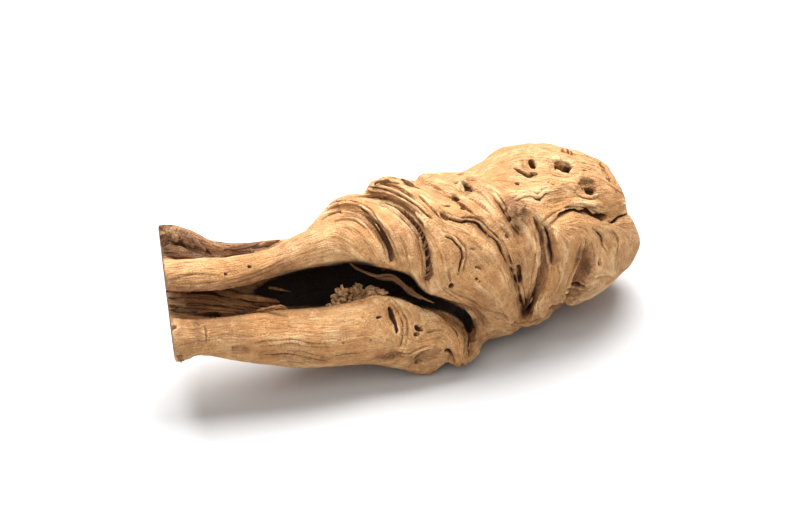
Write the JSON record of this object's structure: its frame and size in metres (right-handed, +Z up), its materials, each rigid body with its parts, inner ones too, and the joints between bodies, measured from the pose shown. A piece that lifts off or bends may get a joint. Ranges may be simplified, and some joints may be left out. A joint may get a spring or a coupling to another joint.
{
  "type": "grapewood log",
  "caption": "Sawn, sandblasted length of twisted vine wood with a long side hollow, cloth-like folds and a knotted head; lies on its side as a perch or decoration.",
  "frame": {"origin": "centre of the bounding box in plan, on the surface that the log lies on", "axes": "+X along the log from the sawn end to the knotted head, +Y away from the side with the hollow, +Z up"},
  "size_m": [0.3189, 0.1279, 0.1089],
  "materials": {
    "vine_wood": "dry, sandblasted, matt, with dark brown creases and a nearly black hollow"
  },
  "bodies": {
    "root": {"grapewood_log": "vine_wood"}
  },
  "joints": []
}
